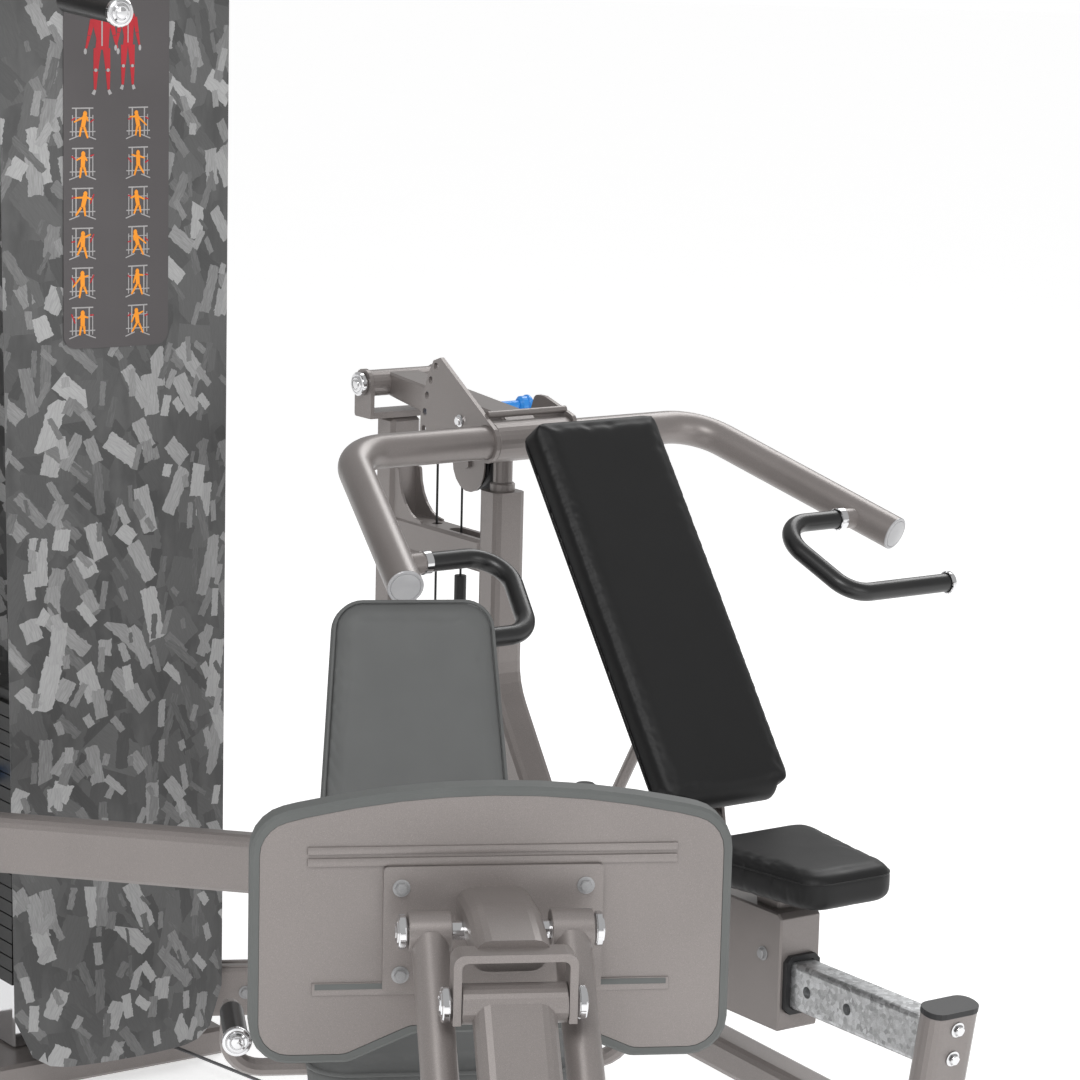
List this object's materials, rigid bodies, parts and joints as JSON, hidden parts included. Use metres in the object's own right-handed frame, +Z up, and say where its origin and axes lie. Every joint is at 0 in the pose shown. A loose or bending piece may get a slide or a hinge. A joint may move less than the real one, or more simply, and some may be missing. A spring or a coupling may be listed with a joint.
{
  "type": "multi station home gym",
  "caption": "Multi station home gym: a twin weight stack tower with a pull-up bar, an adjustable bench with press arms, and a leg press.",
  "frame": {"origin": "centre of the bounding box at floor height", "axes": "+Z up; X runs along the tower's front; the tower's front faces -Y"},
  "size_m": [2.3832, 2.9723, 2.12],
  "materials": {
    "frame_paint": "satin metallic",
    "chrome": "polished",
    "galvanised": "matt, mottled",
    "black_upholstery": "satin",
    "grey_upholstery": "satin",
    "edge_rubber": "matt",
    "grip_rubber": "satin",
    "stack_plates": "satin black",
    "shroud_panel": "satin",
    "blue_knob": "gloss",
    "black_plastic": "satin",
    "cable_cover": "satin"
  },
  "bodies": {
    "frame": {"tower_base": "frame_paint", "upright_right": "frame_paint", "upright_left": "frame_paint", "centre_column": "frame_paint", "top_beam": "frame_paint", "shroud_front_left": "shroud_panel", "shroud_front_right": "shroud_panel", "shroud_rear_left": "shroud_panel", "shroud_rear_right": "shroud_panel", "guide_rods_press": "chrome", "guide_rods_leg": "chrome", "stack_press_rest": "stack_plates", "stack_leg_rest": "stack_plates", "pullup_bar": "frame_paint", "curved_beam": "frame_paint", "tie_beam": "frame_paint", "low_cable": "cable_cover", "main_beam": "frame_paint", "rear_upright": "frame_paint", "mid_beam": "frame_paint", "pivot_bracket": "frame_paint", "pivot_axle": "chrome", "bench_rail": "galvanised", "front_post": "frame_paint", "post_cap": "black_plastic", "strut_bracket": "frame_paint", "link_bracket": "frame_paint", "leg_base": "frame_paint", "leg_seat_frame": "frame_paint", "leg_seat_pad": "grey_upholstery", "leg_back_pad": "grey_upholstery"},
    "lever": {"lever": "frame_paint", "pulley_guard": "frame_paint"},
    "pulley": {"pulley": "black_plastic"},
    "cables": {"press_cables": "black_plastic"},
    "arms": {"press_arms": "frame_paint", "quadrant_plate": "frame_paint", "grip_left": "grip_rubber", "grip_right": "grip_rubber"},
    "pull_pin": {"pull_pin": "blue_knob"},
    "press_stack": {"stack_press_lifted": "stack_plates", "stack_cable_press": "cable_cover"},
    "press_pin": {"selector_pin_press": "blue_knob"},
    "leg_stack": {"stack_leg_lifted": "stack_plates", "stack_cable_leg": "cable_cover"},
    "leg_pin": {"selector_pin_leg": "blue_knob"},
    "carriage": {"bench_carriage": "frame_paint", "seat_pad": "black_upholstery"},
    "back": {"back_frame": "frame_paint", "back_pad": "black_upholstery"},
    "strut": {"back_strut": "frame_paint"},
    "strut_knob": {"strut_knob": "black_plastic"},
    "outer_links": {"outer_link_right": "frame_paint", "outer_link_left": "frame_paint"},
    "foot": {"foot_plate": "frame_paint", "foot_mat": "edge_rubber", "foot_coupler": "frame_paint", "upper_axle": "chrome", "lower_axle": "chrome"},
    "centre_link": {"centre_link": "frame_paint"}
  },
  "joints": [
    {"name": "press_lift", "type": "hinge", "parent": "frame", "child": "lever", "pos_m": [0.6254, 1.4442, 1.133], "axis": [-1, 0, 0], "range_deg": [0, 30]},
    {"name": "arm_start", "type": "hinge", "parent": "lever", "child": "arms", "pos_m": [0.6254, 1.0152, 1.082], "axis": [-1, 0, 0], "range_deg": [-9, 18]},
    {"name": "pull_pin_slide", "type": "slide", "parent": "lever", "child": "pull_pin", "axis": [1, 0, 0], "range_m": [-0.009, 0.012]},
    {"name": "pulley_spin", "type": "hinge", "parent": "lever", "child": "pulley", "pos_m": [0.6254, 1.1752, 1.015], "axis": [1, 0, 0], "range_deg": [0, 175]},
    {"name": "cable_rise", "type": "slide", "parent": "frame", "child": "cables", "axis": [0, 0, 1], "range_m": [0, 0.15], "deforming": ["press_cables"]},
    {"name": "press_stack_lift", "type": "slide", "parent": "frame", "child": "press_stack", "axis": [0, 0, 1], "range_m": [0, 0.3], "deforming": ["stack_cable_press"]},
    {"name": "press_pin_slide", "type": "slide", "parent": "press_stack", "child": "press_pin", "axis": [-1, 0, 0], "range_m": [0, 0.06]},
    {"name": "bench_slide", "type": "slide", "parent": "frame", "child": "carriage", "axis": [0, -1, 0], "range_m": [-0.02, 0.04]},
    {"name": "back_tilt", "type": "hinge", "parent": "carriage", "child": "back", "pos_m": [0.6254, 0.4512, 0.5], "axis": [-1, 0, 0], "range_deg": [-3, 6]},
    {"name": "strut_tilt", "type": "hinge", "parent": "frame", "child": "strut", "pos_m": [0.6254, 0.7692, 0.4], "axis": [-1, 0, 0], "range_deg": [-4.7, 2.4]},
    {"name": "strut_knob_lift", "type": "slide", "parent": "frame", "child": "strut_knob", "axis": [0, 0, 1], "range_m": [0, 0.012]},
    {"name": "leg_press", "type": "hinge", "parent": "frame", "child": "outer_links", "pos_m": [-0.76601, -1.07805, 0.2645], "axis": [0.8934, -0.4493, 0], "range_deg": [0, 35]},
    {"name": "leg_plate_tilt", "type": "hinge", "parent": "outer_links", "child": "foot", "pos_m": [-0.54135, -0.63137, 0.7645], "axis": [0.8934, -0.4493, 0], "range_deg": [-35, 0]},
    {"name": "leg_centre_swing", "type": "hinge", "parent": "frame", "child": "centre_link", "pos_m": [-0.82666, -1.19866, 0.211], "axis": [0.8934, -0.4493, 0], "range_deg": [0, 35]},
    {"name": "leg_stack_lift", "type": "slide", "parent": "frame", "child": "leg_stack", "axis": [0, 0, 1], "range_m": [0, 0.34], "deforming": ["stack_cable_leg"]},
    {"name": "leg_pin_slide", "type": "slide", "parent": "leg_stack", "child": "leg_pin", "axis": [1, 0, 0], "range_m": [0, 0.06]}
  ],
  "couplings": [
    {"joint": "pulley_spin", "follows": "press_lift", "ratio": 5.77},
    {"joint": "cable_rise", "follows": "press_lift", "m_per_rad": 0.283},
    {"joint": "press_stack_lift", "follows": "press_lift", "m_per_rad": 0.566},
    {"joint": "back_tilt", "follows": "bench_slide", "rad_per_m": 2.5},
    {"joint": "strut_tilt", "follows": "bench_slide", "rad_per_m": -2},
    {"joint": "leg_plate_tilt", "follows": "leg_press", "ratio": -1},
    {"joint": "leg_centre_swing", "follows": "leg_press", "ratio": 1},
    {"joint": "leg_stack_lift", "follows": "leg_press", "m_per_rad": 0.55}
  ]
}
